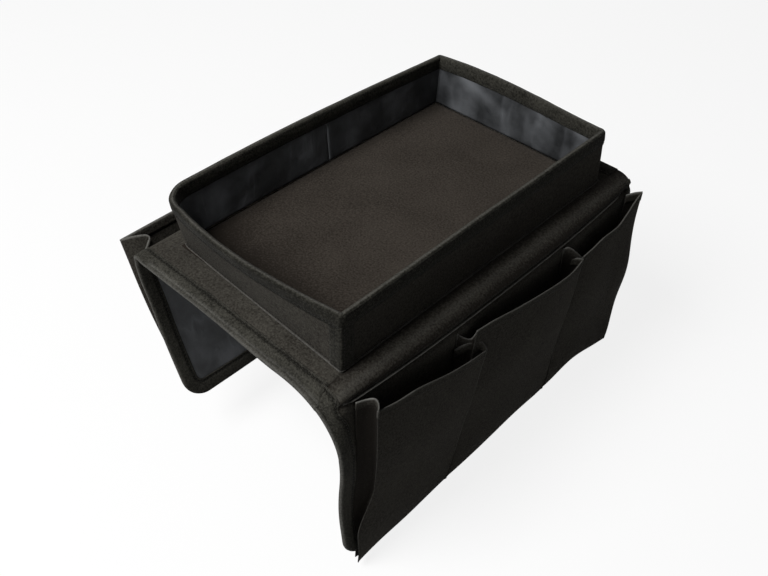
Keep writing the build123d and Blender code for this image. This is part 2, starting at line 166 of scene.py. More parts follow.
class Paint(Nodes):
    """A material with its surface shader."""

    def __init__(self, name, **constants):
        self.material = bpy.data.materials.new(name)
        self.material.use_nodes = True
        super().__init__(self.material.node_tree)
        self.surface = self.tree.nodes["Principled BSDF"]
        for socket, value in constants.items():
            self.surface.inputs[socket.replace("_", " ")].default_value = value

    def link(self, channel, socket):
        self.tree.links.new(channel.socket, self.surface.inputs[socket])

    def along_cloth(self):
        """The map of the cloth's own weave, in metres, and its two directions."""
        weave = self.node("ShaderNodeUVMap", {"uv_map": "weave"})
        across = self.node("ShaderNodeSeparateXYZ", {}, {0: weave})
        return weave, across, Channel(self, across.socket.node.outputs[1])

    def place(self):
        """The piece's own coordinates, which move with it."""
        return self.node("ShaderNodeTexCoord", output=3)

    def noise(self, scale, detail=3.0, roughness=0.5, place=None):
        """A soft random pattern, with about scale patches along each metre."""
        return self.node("ShaderNodeTexNoise", {}, {"Vector": place or self.place(), "Scale": scale,
                                                    "Detail": detail, "Roughness": roughness})

    def blend_colours(self, share, first, second):
        colours = [(*c, 1) if isinstance(c, tuple) else c for c in (first, second)]
        return self.node("ShaderNodeMix", {"data_type": "RGBA"},
                         {0: share, 6: colours[0], 7: colours[1]}, output=2)

    def bump(self, height, distance):
        """Small relief in the light only, where full height stands distance millimetres out."""
        bumped = self.node("ShaderNodeBump", {}, {"Height": height, "Distance": distance * MM})
        self.link(bumped, "Normal")

    def wear_and_painted_light(self):
        """How rubbed the cloth is here, with its painted shade and painted highlights, which each piece
        keeps at its own vertices.
        """
        return self.node("ShaderNodeAttribute", {"attribute_name": "wear_and_painted_light"}, output=2)

    def cloth_colour(self, tone, dark, light, rub):
        """Tone leads from dark to light. The wear value below 0 darkens it, mostly as painted shade, and
        above 0 rubs the cloth light or lays a painted highlight.
        """
        wear_and_painted_light = self.wear_and_painted_light()
        cloth = self.blend_colours((tone + wear_and_painted_light.maths("MINIMUM", 0)).clamped(), dark, light)
        self.link(self.blend_colours((wear_and_painted_light * rub).clamped(), cloth, rubbed), "Base Color")


# The colour of rubbed cloth, which also serves as the painted highlight on the roll beside the tray.
rubbed = (0.165, 0.162, 0.150)
print("rubbed cloth:", rubbed)

# %% [markdown]
# ## Woven cloth
# The tray is sewn from a black plain-woven polyester. Up close such a cloth is a checker of threads
# that go over and under each other, which is the product of two sines along the cloth's own two
# directions. The yarns differ a little, so a stretched noise lightens some of them, and a broad soft
# noise makes the black a little browner and rougher in patches. Edges that are handled are rubbed
# lighter. Painted shade darkens grooves, creases and the places between parts where shade falls, and
# the roll beside the tray gets a painted highlight; both go in with the wear. A picture of cloth would
# serve too, but a formula stays sharp up close and needs no file.


# %% Woven cloth
def woven_cloth(name, dark, light, thread, depth, roughness, streak=0.35):
    """A woven cloth. thread is its repeat and depth its relief, in millimetres."""
    paint = Paint(name, Sheen_Weight=0.02, Sheen_Roughness=0.45, Specular_IOR_Level=0.02)
    weave, across, along = paint.along_cloth()
    checker = across.wave(thread) * along.wave(thread)
    threads = across.wave(thread / 2) * along.wave(thread / 2)
    patches = paint.noise(22, detail=4)
    grain = paint.noise(600, roughness=0.65)
    stretched = paint.node("ShaderNodeMapping", {}, {"Vector": weave, "Scale": (1, 12, 1)})
    slub = paint.noise(160, place=stretched)
    tone = patches * 0.7 + grain * 2.3 + slub * streak + checker * 0.14 - 1.0 - streak / 2
    paint.cloth_colour(tone, dark, light, rub=grain * 1.5 + 0.1)
    paint.link(patches * 0.16 + grain * 0.1 + (roughness - 0.13), "Roughness")
    paint.bump(checker * 0.35 + threads * 0.15 + grain * 1.4 + slub * 0.5, depth)
    return paint.material


oxford_cloth = woven_cloth("oxford_cloth", (0.0140, 0.0120, 0.0099), (0.062, 0.0580, 0.049),
                           thread=1.1, depth=0.25, roughness=0.78)
floor_cloth = woven_cloth("floor_cloth", (0.0190, 0.0155, 0.0125), (0.060, 0.051, 0.0425),
                          thread=0.9, depth=0.22, roughness=0.92, streak=0.2)
print("cloth:", oxford_cloth.name, floor_cloth.name)

# %% [markdown]
# ## Coated lining
# The inside of the walls and the underside of the flaps are cloth with a coating rolled onto it. It
# is smoother and glossier, with a bluish tone, and broad slanted streaks of painted highlight lighten
# its colour. The weave shows through the coating only faintly, so its bump is shallow, and a slanted
# noise gives the creases that storage leaves in a coated cloth. A plain glossy colour would look like
# wet plastic instead.

# %% Coated lining
coating = Paint("coated_lining", Specular_IOR_Level=0.25)
weave, across, along = coating.along_cloth()
slanted = coating.node("ShaderNodeMapping", {}, {"Vector": coating.place(), "Scale": (1.0, 1.0, 0.35),
                                                 "Rotation": (0.5, 0.4, 0.0)})
cloud = coating.noise(30, detail=5, roughness=0.6)
crease = coating.noise(55, detail=6, place=slanted)
from_crease = (coating.noise(34, detail=2, place=slanted) - 0.5).maths("ABSOLUTE")
crease_line = 1 - (from_crease * 12).maths("MINIMUM", 1)
# Painted highlight: broad slanted bright streaks go into the lining's colour, and the wear value adds each
# piece's painted highlights and painted shade.
painted_glaze_highlight = (coating.noise(24, detail=1, place=slanted) * 5.0 - 2.6).clamped()
tone = cloud * 0.9 + painted_glaze_highlight * 0.45 + crease_line * 0.2 - 0.34 + coating.wear_and_painted_light()
coating.link(coating.blend_colours(tone.clamped(), (0.021, 0.0222, 0.0235), (0.145, 0.152, 0.163)),
             "Base Color")
coating.link(cloud * 0.28 + crease * 0.15 + 0.20, "Roughness")
coating.bump(crease + crease_line * 0.25 + across.wave(0.8) * along.wave(0.8) * 0.05, 1.2)
coated_lining = coating.material
print("lining:", coated_lining.name)

# %% [markdown]
# ## Binding tape, thread and board
# The raw edges are bound with a narrow ribbed tape. Its ribs run across it, so they are one sine
# along its length. The thread is the same black with a faint shine. The board inside the walls is
# plain greyboard that nobody sees unless a seam opens. Thread and board are too small or too hidden
# for a weave, so one noise is enough for each.


# %% Binding tape, thread and board
def plain_paint(name, scale, detail, dark, light, roughness, **constants):
    """A material whose colour and roughness follow one noise."""
    paint = Paint(name, **constants)
    fibres = paint.noise(scale, detail)
    paint.link(paint.blend_colours(fibres, dark, light), "Base Color")
    paint.link(fibres * 0.2 + roughness, "Roughness")
    return paint.material


tape_paint = Paint("edge_tape", Sheen_Weight=0.03, Sheen_Roughness=0.4, Specular_IOR_Level=0.02)
ribs = tape_paint.along_cloth()[2].wave(1.3)
fuzz = tape_paint.noise(620, roughness=0.7)
patches = tape_paint.noise(40, detail=4)
tape_paint.cloth_colour(patches * 0.9 + fuzz * 2.4 + ribs * 0.04 - 1.15, (0.0105, 0.0101, 0.0083),
                        (0.060, 0.0575, 0.0485), rub=fuzz * 1.9 - 0.15)
tape_paint.link(patches * 0.2 + 0.62, "Roughness")
tape_paint.bump(ribs * 0.25 + fuzz * 1.8, 0.3)
edge_tape = tape_paint.material
sewing_thread = plain_paint("sewing_thread", 1500, 1, (0.0075, 0.0072, 0.0062), (0.022, 0.021, 0.018),
                            0.45, Specular_IOR_Level=0.1)
stiff_board = plain_paint("stiff_board", 400, 5, (0.14, 0.12, 0.09), (0.26, 0.22, 0.17), 0.75)
print("trim:", edge_tape.name, sewing_thread.name, stiff_board.name)

# %% [markdown]
# ## Cutting and bending cloth
# Every cloth piece starts as a flat grid, as on a cutting table, and is then bent into its place by a
# function of the two shares along its sides. The grid's flat size goes into its UV map in metres, so
# the weave has the same scale everywhere and follows each bend. A Solidify modifier gives the cloth
# its thickness. Modelling the bent shape directly would lose that map.


# %% Cutting and bending cloth
def on_base(piece):
    """Most pieces never move, so they ride on the base."""
    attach(piece, "base")


def to_object(name, shape, material):
    """Turns a bmesh into a piece with its place in its mesh."""
    mesh = bpy.data.meshes.new(name)
    shape.to_mesh(mesh)
    shape.free()
    for polygon in mesh.polygons:
        polygon.use_smooth = True
    mesh.materials.append(material)
    piece = bpy.data.objects.new(name, mesh)
    bpy.context.scene.collection.objects.link(piece)
    return piece


def crowd(t):
    """Moves evenly spaced shares towards both ends, where the cloth curves most."""
    return t - 0.6 * math.sin(2 * math.pi * t) / (2 * math.pi)


def cut_cloth(name, cuts, place, flat, material, thickness=0.8, offset=-1, turned=False, closed=False,
              crowded=False, rubbing_and_painted_light=None, follow=on_base, nodes=None, sheet=None):
    """Bends a flat grid of cloth with place(s, t), in millimetres. A closed one joins its ends.

    A turned one has its faces turned round, so that they point outwards, and a crowded one has more
    of its rows near both ends. rubbing(s, t) gives the cloth's wear and its painted light there: up to 1
    where it is rubbed light or takes a painted highlight, and below 0 where painted shade or a darker
    tone darkens it. follow(piece) ties the cloth to its body. It replaces the node of its own name, or
    the nodes given. sheet is not used.
    """
    cloth = bmesh.new()
    weave = cloth.loops.layers.uv.new("weave")
    # Each vertex keeps its wear together with its painted shade and painted highlights.
    wear_and_painted_light = cloth.verts.layers.float.new("wear_and_painted_light")
    width, length = flat[0] * MM, flat[1] * MM
    bmesh.ops.create_grid(cloth, x_segments=cuts[0], y_segments=cuts[1], size=0.5)
    if crowded:
        for vertex in cloth.verts:
            vertex.co.y = crowd(vertex.co.y + 0.5) - 0.5
    for face in cloth.faces:
        for corner in face.loops:
            corner[weave].uv = ((corner.vert.co.x + 0.5) * width, (corner.vert.co.y + 0.5) * length)
    for vertex in cloth.verts:
        s, t = vertex.co.x + 0.5, vertex.co.y + 0.5
        vertex[wear_and_painted_light] = rubbing_and_painted_light(s, t) if rubbing_and_painted_light else 0.0
        vertex.co = Vector(place(s, t)) * MM
    if closed:
        bmesh.ops.remove_doubles(cloth, verts=cloth.verts, dist=0.01 * MM)
    if turned:
        bmesh.ops.reverse_faces(cloth, faces=cloth.faces)
    piece = to_object(name + "_look", cloth, material)
    solid = piece.modifiers.new("thickness", "SOLIDIFY")
    solid.thickness = thickness * MM
    solid.offset = offset
    follow(piece)
    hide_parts(*(nodes or [name]))


print("cutting table ready")


# %% Small curves
def mix(a, b, share):
    return a + (b - a) * share


def ease(share):
    share = min(max(share, 0), 1)
    return share * share * (3 - 2 * share)


def ripple(x, y, scale, seed):
    """A smooth random height between -1 and 1, the same on each run."""
    return noise.noise(Vector((x / scale, y / scale, seed)))


def hump(value, middle, width):
    """1 at the middle, falling smoothly to 0 on both sides."""
    return math.exp(-((value - middle) / width) ** 2)


print("half-way up an ease:", ease(0.5), "and one width from a hump:", round(hump(1, 0, 1), 3))


# %% Wear and painted groove shade on the tapes
def edge_wear_and_groove_shade(s, t):
    """A folded tape is rubbed where it turns over the edge, and painted shade darkens its two stitched
    grooves.
    """
    return 0.5 * hump(s, 0.48, 0.05) - 0.7 * hump(s, 0.079, 0.03) - 0.7 * hump(s, 0.921, 0.03)


def deck_end_wear_and_groove_shade(s, t):
    """The tape of the deck's ends also has a fine light ridge on its upper leg."""
    return edge_wear_and_groove_shade(s, t) + 0.35 * hump(s, 0.34, 0.03)


def rim_rubbing(s, t):
    """The rim's tape has a thin light line along its top and is darker on its outer leg."""
    return 0.4 * hump(t, 0.5, 0.03) - (0.4 if t < 0.5 else 0.1)


print("rubbing on the edge's tape:", round(edge_wear_and_groove_shade(0.48, 0), 2), "and in its groove:",
      round(edge_wear_and_groove_shade(0.079, 0), 2))

# %% [markdown]
# ## Stitches
# A lockstitch shows as short, slightly sunk dashes of thread. Each one is a small stretched ball with
# twenty faces, laid along a line on the cloth. A row of them is one piece, because a bump map would
# vanish at the edge of the object where the stitches show best.

# %% Stitches
stitch_length, stitch_step, stitch_width = 2.3, 3.3, 0.42


def stitch_row(name, line, normal, samples=400, follow=on_base):
    """Lays stitches along line(share), standing out along normal(share). Both give millimetres."""
    points = [Vector(line(i / samples)) for i in range(samples + 1)]
    walked = [0]
    for a, b in zip(points, points[1:]):
        walked.append(walked[-1] + (b - a).length)
    count = max(int(walked[-1] / stitch_step), 1)
    row = bmesh.new()
    at = 0
    for number in range(count):
        target = walked[-1] * (number + 0.5) / count
        while walked[at + 1] < target:
            at += 1
        share = (target - walked[at]) / max(walked[at + 1] - walked[at], 1e-9)
        middle = points[at].lerp(points[at + 1], share)
        run = (points[at + 1] - points[at]).normalized()
        out = Vector(normal((at + share) / samples))
        out = (out - run * out.dot(run)).normalized()
        turn = Matrix((run, run.cross(out), out)).transposed().to_4x4()
        # The matrix's last number has to end as 1, because it isn't a length.
        stretch = Matrix.Diagonal((stitch_length / 2, stitch_width, stitch_width * 0.8, 1 / MM)) * MM
        bmesh.ops.create_icosphere(row, subdivisions=1, radius=1,
                                   matrix=Matrix.Translation(middle * MM) @ turn @ stretch)
    stitches = to_object(name, row, sewing_thread)
    follow(stitches)


print("one stitch is", stitch_length, "mm long, every", stitch_step, "mm")

# %% [markdown]
# ## The draped skin
# Deck and flaps are one continuous skin: flat on top, rolled over a soft shoulder, creased at the
# fold, then hanging. Each piece could be modelled alone, but then gaps would open between them. So
# a single function describes the skin's outer face for each side, and every layer, binding and
# stitch line is measured from it. At the near end the cloth isn't held by the board, so the right
# corner there sags into a wide slanting curve.

# %% Sizes of the skin
half_length = 184.5
near_edge, far_edge = -187.0, 188.0
cloth_length = far_edge - near_edge
board_end = 160.0
deck_top, deck_thick, flap_thick = 4.0, 4.0, 3.2
fold_level = -5.0
right_fold_x, right_bow, right_sink = 117.0, 4.5, 3.5
left_fold_x, left_bow = -118.5, -1.5
right_crease, left_crease = 2.4, 1.2
right_settle, left_settle, left_bend = 34.0, 30.0, 8.0
seam_start, seam_overlap, cloth_on_deck = 100.0, 1.5, 24.0
right_reach, left_reach = 184.5, 151.5
right_corner, left_corner = 27.0, 20.0
right_hang_x = 119.8
left_lean = math.radians(16)
end_sag, far_sag = 7.6, -0.1
arch_start, arch_pull, arch_end = (52.0, deck_top - end_sag), (119.5, 1.0), (121.8, -60.0)
arch_hang, arch_reach, far_arch = 46.0, 174.0, 0.02
print("cloth along the arm:", cloth_length, "mm")


# %% Fold, sag and hem
def right_fold(y):
    """Where the right fold runs: it bows out and sinks towards the middle of the arm."""
    bow = 1 - min(abs(y) / half_length, 1) ** 2.5
    return right_fold_x + right_bow * bow, fold_level - right_sink * bow


def past_share(y, start):
    """0 up to start, rising to 1 at the tray's near and far ends."""
    return max((abs(y) - start) / (half_length - start), 0.0)


def sag(y):
    """How far the cloth hangs at the ends, past the board that holds it flat. The far end lifts a little."""
    return end_sag * past_share(y, board_end) ** 2.4 * (1.0 if y < 0 else far_sag)


def arch_share(y):
    """How far the right corner has sunk from a crisp fold into a soft arch."""
    return min(past_share(y, arch_reach) ** 2.2, 1.0) * (1.0 if y < 0 else far_arch)


def hem_lift(y):
    """The right flap isn't cut straight: it droops near the first pocket and rises at the third."""
    return 5.5 * hump(y, 45, 42) + 11.5 * hump(y, 124, 38) - 5.8 * hump(y, -120, 50)


print("fold at the middle:", [round(v, 1) for v in right_fold(0)])


# %% The right side
def right_wave(y, z):
    """The hanging flap swings in and out a little."""
    edge = 0.55 + 0.45 * abs(y) / half_length
    swing = 1.8 * edge * math.cos(2 * math.pi * (z + 71) / 108)
    return right_hang_x + swing + 0.7 * ripple(y, z, 60, 3.1)


def arch_point(h, y, reach):
    """The soft arch of the right corner: level, then a curve towards arch_pull, then hanging."""
    if h < -reach:
        return arch_start[0] + h + reach, arch_start[1]
    if h < arch_hang:
        t = 0.5 * (1 + h / (reach if h < 0 else arch_hang))
        weights = ((1 - t) ** 2, 2 * t * (1 - t), t * t)
        return [sum(weight * place for weight, place in zip(weights, places))
                for places in zip(arch_start, arch_pull, arch_end)]
    rest = (h - arch_hang) / (right_reach - arch_hang)
    z = mix(arch_end[1], fold_level - right_reach + hem_lift(y), rest)
    return mix(arch_end[0], right_wave(y, z), ease(rest * 3)), z


def right_skin(h, y):
    """Outer face of the right side. h is how far below the fold, and below 0 it is on the deck."""
    fold_x, fold_z = right_fold(y)
    roll, drop = 15.0, deck_top - fold_z
    arc = 1.28 * 1.18 * math.sqrt(roll * drop)
    if h <= -arc:
        x, z = fold_x - roll + h + arc, deck_top
    elif h < 0:
        angle = (1 + h / arc) * math.pi / 2
        x, z = fold_x - roll + roll * math.sin(angle), fold_z + drop * math.cos(angle)
    else:
        z = fold_z - h + hem_lift(y) * (h / right_reach) ** 2
        x = mix(fold_x, right_wave(y, z), ease(h / right_settle))
    x -= right_crease * hump(h, 0.5, 3.4)
    z -= sag(y) * ease((-h - 4) / 14)
    share = arch_share(y)
    if share > 0:
        end_x, end_z = arch_point(h, y, fold_x + 5 - arch_start[0])
        x, z = mix(x, end_x, share), mix(z, end_z, share)
    return x, z


print("right flap's foot:", [round(v, 1) for v in right_skin(right_reach, 0)])


# %% The left side
def left_belly(y):
    """How far the left flap swells out half-way down. It flares most at its near and far edges."""
    return 2.8 + 3.7 * ease((abs(y) - 125) / 55)


def left_skin(h, y):
    """Outer face of the left side, whose flap leans in under the deck."""
    roll, drop, arc = 9.0, deck_top - fold_level, 14.2
    fold_x = left_fold_x + left_bow * (1 - (abs(y) / half_length) ** 2)
    if h <= -arc:
        x, z = fold_x + roll - h - arc, deck_top
    elif h < 0:
        angle = (1 + h / arc) * math.pi / 2
        x, z = fold_x + roll - roll * math.sin(angle), fold_level + drop * math.cos(angle)
    else:
        bend = h - left_bend * (1 - math.exp(-h / left_bend))
        swing = left_belly(y) * math.sin(math.pi * h / left_reach) + 0.8 * ripple(y, h, 55, 7.7)
        x = fold_x + bend * math.sin(left_lean) - swing * ease(h / left_settle)
        z = fold_level - h + bend * (1 - math.cos(left_lean))
    x += left_crease * hump(h, 0.5, 3.2)
    z -= sag(y) * 0.5 * ease((-h - 4) / 14)
    return x, z


print("left flap's foot:", [round(v, 1) for v in left_skin(left_reach, 0)])


# %% Layers of the skin
def skin(side, h, y):
    x, z = right_skin(h, y) if side > 0 else left_skin(h, y)
    return Vector((x, y, z))


def skin_normal(side, h, y):
    step = 0.6
    down = skin(side, h + step, y) - skin(side, h - step, y)
    along = skin(side, h, y + step) - skin(side, h, y - step)
    return (down.cross(along) if side > 0 else along.cross(down)).normalized()


def skin_layer(side, h, y, depth):
    """A point of the skin's layers, depth below its outer face."""
    return skin(side, h, y) - skin_normal(side, h, y) * depth


def fold_h(side, y):
    """The h of the line where the deck's own pieces end, at seam_start from the middle."""
    low, high = -60.0, 0.0
    for _ in range(24):
        middle = (low + high) / 2
        if abs(skin(side, middle, y).x) < seam_start:
            low = middle
        else:
            high = middle
    return (low + high) / 2


def thickness_at(h):
    """The deck is thicker than the flaps, and the cloth thins on its way over the shoulder."""
    return mix(deck_thick, flap_thick, ease((h + 20) / 20))


print("deck's cloth ends", round(-fold_h(1, 0), 1), "mm before the right fold")

# %% [markdown]
# ## Deck
# The deck is two cloths with a board between them. Its own pieces stop just outside the tray's walls,
# and from there each flap's cloth carries on over the shoulder.

# %% Where the deck's cloth ends
seam_lines = {(side, y): fold_h(side, y) for side in (1, -1) for y in range(-200, 201)}


def seam_h(side, y):
    """The h where the deck's own cloth ends, looked up between whole millimetres along the arm."""
    base = math.floor(y)
    return mix(seam_lines[side, base], seam_lines[side, base + 1], y - base)


def deck_point(x, y, height):
    """A point of the deck, height over its top face. Both sides share the middle."""
    points = [skin_layer(side, seam_h(side, y) - (seam_start - side * x), y, -height)
              for side in (-1, 1)]
    return points[0].lerp(points[1], ease(0.5 + x / 80))


print("seam lines measured at", len(seam_lines), "places")


# %% Cut the deck
def deck_layer(depth):
    """Places a point across the deck, between the two lines where the flaps' cloths begin."""
    def place(s, t):
        return deck_point(mix(-seam_start, seam_start, s), mix(near_edge, far_edge, t), -depth)
    return place


def flat_board(half_width, near, far, height):
    """Places a point of a flat board, which is as wide to the left as to the right."""
    def place(s, t):
        return mix(-half_width, half_width, s), mix(near, far, t), height
    return place


deck_flat = (2 * seam_start, cloth_length)
board_half_width, board_top = 98.0, 3.0
stretched = {"held": "stretched", "rests_on": ["deck_board"]}
cut_cloth("deck_cover", (80, 120), deck_layer(0), deck_flat, oxford_cloth, crowded=True, sheet=stretched)
cut_cloth("deck_lining", (60, 90), deck_layer(deck_thick), deck_flat, coated_lining, turned=True,
          crowded=True, sheet=stretched)
cut_cloth("deck_board", (2, 2), flat_board(board_half_width, -board_end, board_end, board_top),
          deck_flat, stiff_board, thickness=2.0)
print("deck cloth", [round(v) for v in deck_flat], "mm")

# %% [markdown]
# ## Flaps
# Each flap is a cover, a board and a lining that hang from the shoulder. The cloths start on the deck
# and cross the fold. The lower corners are rounded. Rather than cutting them off, the grid's rows are
# pulled in along the corner's arc, which keeps clean edges.

# %% Where the flaps bend
sides = {"right": (1, right_reach), "left": (-1, left_reach)}
bend_starts = {"right": (0.098, 0, 0.001), "left": (-0.106, 0, 0.001)}
bend_ends = {"right": (0.1235, 0, -0.0245), "left": (-0.1235, 0, -0.0165)}


def bend_at_fold(name):
    """Gives a follow that bakes the piece's place into its mesh, without tying it to the deck or the flap.
    """
    def follow(piece):
        name + "_flap"
        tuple(bend_starts[name])
        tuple(bend_ends[name])
        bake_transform(piece)
    return follow


print("flaps:", sorted(sides))


# %% The flaps' layers
def drawn_in(h, reach, inset, corner):
    """How far the rounded corners draw the flap's near and far edges in at one height."""
    radius = corner - inset
    past = h - (reach - corner)
    if past <= 0:
        return 0.0
    return radius - math.sqrt(max(radius ** 2 - min(past, radius) ** 2, 0.0))


def edge_y(h, end):
    """The y of the cloth's near (-1) or far (1) edge at one height."""
    return mix(near_edge if end < 0 else far_edge, end * (half_length - 0.5), ease(h / 60))


def tucked(past_seam):
    """The flap's cloths start a little under the deck's, so that no gap opens between them."""
    return 0.12 * ease((2 - past_seam) / 4)


def flap_layer(side, reach, depth, inset, top=None):
    """Places a point of one of the flap's layers: s runs down it and t along the arm."""
    corner = right_corner if side > 0 else left_corner

    def place(s, t):
        seam = seam_h(side, mix(near_edge, far_edge, t))
        h = mix(seam - seam_overlap if top is None else top, reach - inset, s)
        cut = drawn_in(h, reach, inset, corner) + inset
        y = mix(edge_y(h, -1) + cut, edge_y(h, 1) - cut, t)
        return skin_layer(side, h, y, depth * thickness_at(h) + tucked(h - seam) * (1 - 2 * depth))
    return place


print("near edge at the fold:", round(edge_y(0, -1), 1), "and at the foot:", round(edge_y(150, -1), 1))


# %% Cut the flaps
def roll_painted_shade_and_highlight(s, t):
    """Painted shade on the roll beside the tray, darkest beside the wall and just above the fold, with a
    soft painted highlight between them.
    """
    h = mix(-cloth_on_deck, right_reach, s)
    return 0.13 * hump(h, -12.5, 3.5) - 0.55 * hump(h, -24, 6.5) - 0.6 * hump(h, -3.2, 3.2)


cloth_inset = 0.8
flap_board_inset, flap_board_start, flap_board_short = 7, 8, 4
for name, (side, reach) in sides.items():
    flat = (reach + cloth_on_deck, cloth_length)
    hung = {"held": "hung", "rests_on": ["deck_board"]}
    cut_cloth(name + "_flap_cover", (96, 150), flap_layer(side, reach, 0, cloth_inset), flat, oxford_cloth,
              turned=side < 0, crowded=True, rubbing_and_painted_light=roll_painted_shade_and_highlight if side > 0 else None,
              follow=bend_at_fold(name), sheet=hung)
    cut_cloth(name + "_flap_lining", (96, 130), flap_layer(side, reach, 1, cloth_inset), flat,
              coated_lining, turned=side > 0, crowded=True, follow=bend_at_fold(name), sheet=hung)
    cut_cloth(name + "_flap_board", (40, 60),
              flap_layer(side, reach - flap_board_short, 0.5, flap_board_inset, top=flap_board_start),
              flat, stiff_board, thickness=1.2, turned=side < 0, offset=0, crowded=True,
              follow=bend_at_fold(name))
    print(name, "flap cloth", [round(v) for v in flat], "mm")

# %% [markdown]
# ## Binding round the edges
# A tape is folded over every raw edge and stitched through. Its section is a narrow U: one leg on the
# outer face, a rounded edge, one leg on the lining. Sweeping that U along the outline of deck and
# flap gives a tape that turns the corners as the real one does.

# %% The folded tape's section
tape_thick = 0.6
# In millimetres: each leg, the flat width, the stitches' distance from the edge, where a leg ends (lip)
# and how far the round edge reaches past it, how high a leg lies (lift), its puff and its groove, the
# round edge's extra height and the lower leg's tuck. The turn is a share of the width.
edge_fold = {"leg": 13.5, "flat": 31.0, "stitch": 11.07, "turn": 0.42, "lip": 0.6, "reach": 1.44,
             "lift": tape_thick, "puff": 0.45, "groove": 0.75, "groove_width": 1.1, "round": 0.6,
             "tuck": 0.0}


def tape_section(v, thick, fold):
    """Where a share of the tape lies: how far in from the edge, and how high over the outer face.

    The first leg ends at the share turn, and the second leg mirrors it under the cloth. Between them
    the tape goes round the edge. Each leg is puffed up, with a groove where the stitches pull it in.
    """
    turn = fold["turn"]
    if v < turn:
        share = v / turn
        inward = mix(fold["leg"], fold["lip"], share)
        groove = fold["groove"] * hump(inward, fold["stitch"], fold["groove_width"])
        return inward, fold["lift"] + fold["puff"] * math.sin(math.pi * share) - groove
    if v > 1 - turn:
        inward, height = tape_section(1 - v, thick, fold)
        return inward, fold["tuck"] - thick - height
    angle = (v - turn) / (1 - 2 * turn) * math.pi
    return (fold["lip"] - fold["reach"] * math.sin(angle),
            -thick / 2 + (thick / 2 + fold["round"]) * math.cos(angle))


print("tape's edge stands out", round(-tape_section(0.5, flap_thick, edge_fold)[0], 2), "mm")


# %% The path of a flap's tape
def edge_path(side, reach):
    """Walks the flap's edge from the deck's near end round the bottom to the deck's far end.

    Each stop is its h and y, and the h and y of the direction that leads in from the edge.
    """
    step, arc_steps = 4.0, 12
    radius = right_corner if side > 0 else left_corner
    start = seam_h(side, near_edge) - seam_overlap
    side_run = [start + i * step for i in range(int((reach - radius - start) / step) + 1)]
    low, high = edge_y(reach, -1) + radius, edge_y(reach, 1) - radius
    turns = [math.pi / 2 * i / arc_steps for i in range(arc_steps + 1)]
    run = int((high - low) / step)

    def corner(angle, y, end):
        return (reach - radius + radius * math.sin(angle), y + end * radius * math.cos(angle),
                -math.sin(angle), -end * math.cos(angle))

    return ([(h, edge_y(h, -1), 0.0, 1.0) for h in side_run] + [corner(a, low, -1) for a in turns]
            + [(reach, mix(low, high, i / run), -1.0, 0.0) for i in range(1, run)]
            + [corner(a, high, 1) for a in reversed(turns)]
            + [(h, edge_y(h, 1), 0.0, -1.0) for h in reversed(side_run)])


def on_path(path, share):
    """The stop at a share of the path's stops."""
    at = min(share * (len(path) - 1), len(path) - 1 - 1e-6)
    first = int(at)
    return [mix(a, b, at - first) for a, b in zip(path[first], path[first + 1])]


def tape_point(side, path, share, inward, height):
    """A point of the flap's tape, inward from its edge and height over the outer face."""
    h, y, in_h, in_y = on_path(path, share)
    if side > 0:
        inward *= 1 - 0.4 * hump(h, 4, 11)
    start = seam_h(side, y)
    h, y = h + in_h * inward, y + in_y * inward
    if h < 0:
        h += (seam_h(side, y) - start) * h / start
    height -= tucked(h - seam_h(side, y)) * (1 if height > 0 else -1)
    if height < -tape_thick:
        height = mix(height, height - (thickness_at(h) - flap_thick), min(1, -height / flap_thick))
    return skin_layer(side, h, y, -height)


print("stops on the right flap's edge:", len(edge_path(1, right_reach)))

# %% Bindings of the flaps
thread_sunk = 0.2
tape_ends = 40.0
# The stitches stand out as the cloth does this far in from its edge.
by_stitch = 11
for name, (side, reach) in sides.items():
    path = edge_path(side, reach)
    length = 2 * reach + cloth_length + tape_ends
    cut_cloth(name + "_flap_binding", (26, 2 * len(path)),
              lambda s, t: tape_point(side, path, t, *tape_section(s, flap_thick, edge_fold)),
              (edge_fold["flat"], length), edge_tape, thickness=0.5, turned=side < 0,
              rubbing_and_painted_light=edge_wear_and_groove_shade, follow=bend_at_fold(name),
              sheet={"held": "folded", "rests_on": [name + "_flap_cover"]})
    for label, height in (("outer", tape_thick - thread_sunk),
                          ("inner", -flap_thick - tape_thick + thread_sunk)):
        def out(share):
            h, y, in_h, in_y = on_path(path, share)
            facing = skin_normal(side, h + in_h * by_stitch, y + in_y * by_stitch)
            return facing * (1 if height > 0 else -1)

        stitch_row(name + "_flap_binding_stitches_" + label,
                   lambda share: tape_point(side, path, share, edge_fold["stitch"], height), out,
                   follow=bend_at_fold(name))
    print(name, "binding", round(length), "mm long")

# %% [markdown]
# The deck's own two ends carry the same tape between the shoulders. They could share one sweep with
# the flaps' tapes, but the deck stays still while the flaps swing, so each end has a tape of its own.

# %% Bindings of the deck's ends
for label, end, edge in (("near", -1, near_edge), ("far", 1, far_edge)):
    def end_point(t, inward, height):
        return deck_point(mix(-seam_start, seam_start, t), edge - end * inward, height)

    cut_cloth("deck_" + label + "_binding", (26, 70),
              lambda s, t: end_point(t, *tape_section(s, deck_thick, edge_fold)),
              (edge_fold["flat"], 2 * seam_start), edge_tape, thickness=0.5, turned=end > 0,
              rubbing_and_painted_light=deck_end_wear_and_groove_shade, sheet={"held": "folded", "rests_on": ["deck_cover"]})
    stitch_row("deck_" + label + "_binding_stitches",
               lambda share: end_point(share, edge_fold["stitch"], tape_thick - thread_sunk),
               lambda share: (0, 0, 1))
print("deck ends bound, from x", -seam_start, "to", seam_start, "mm")

# %% [markdown]
# ## Fold seams
# Along each fold the two cloths are stitched together, which leaves a fine raised line with a groove
# on both sides. A bump map would vanish where the fold is seen from its end, so the line is a thin
# strip of its own on the crease, and it bends with the cloth.

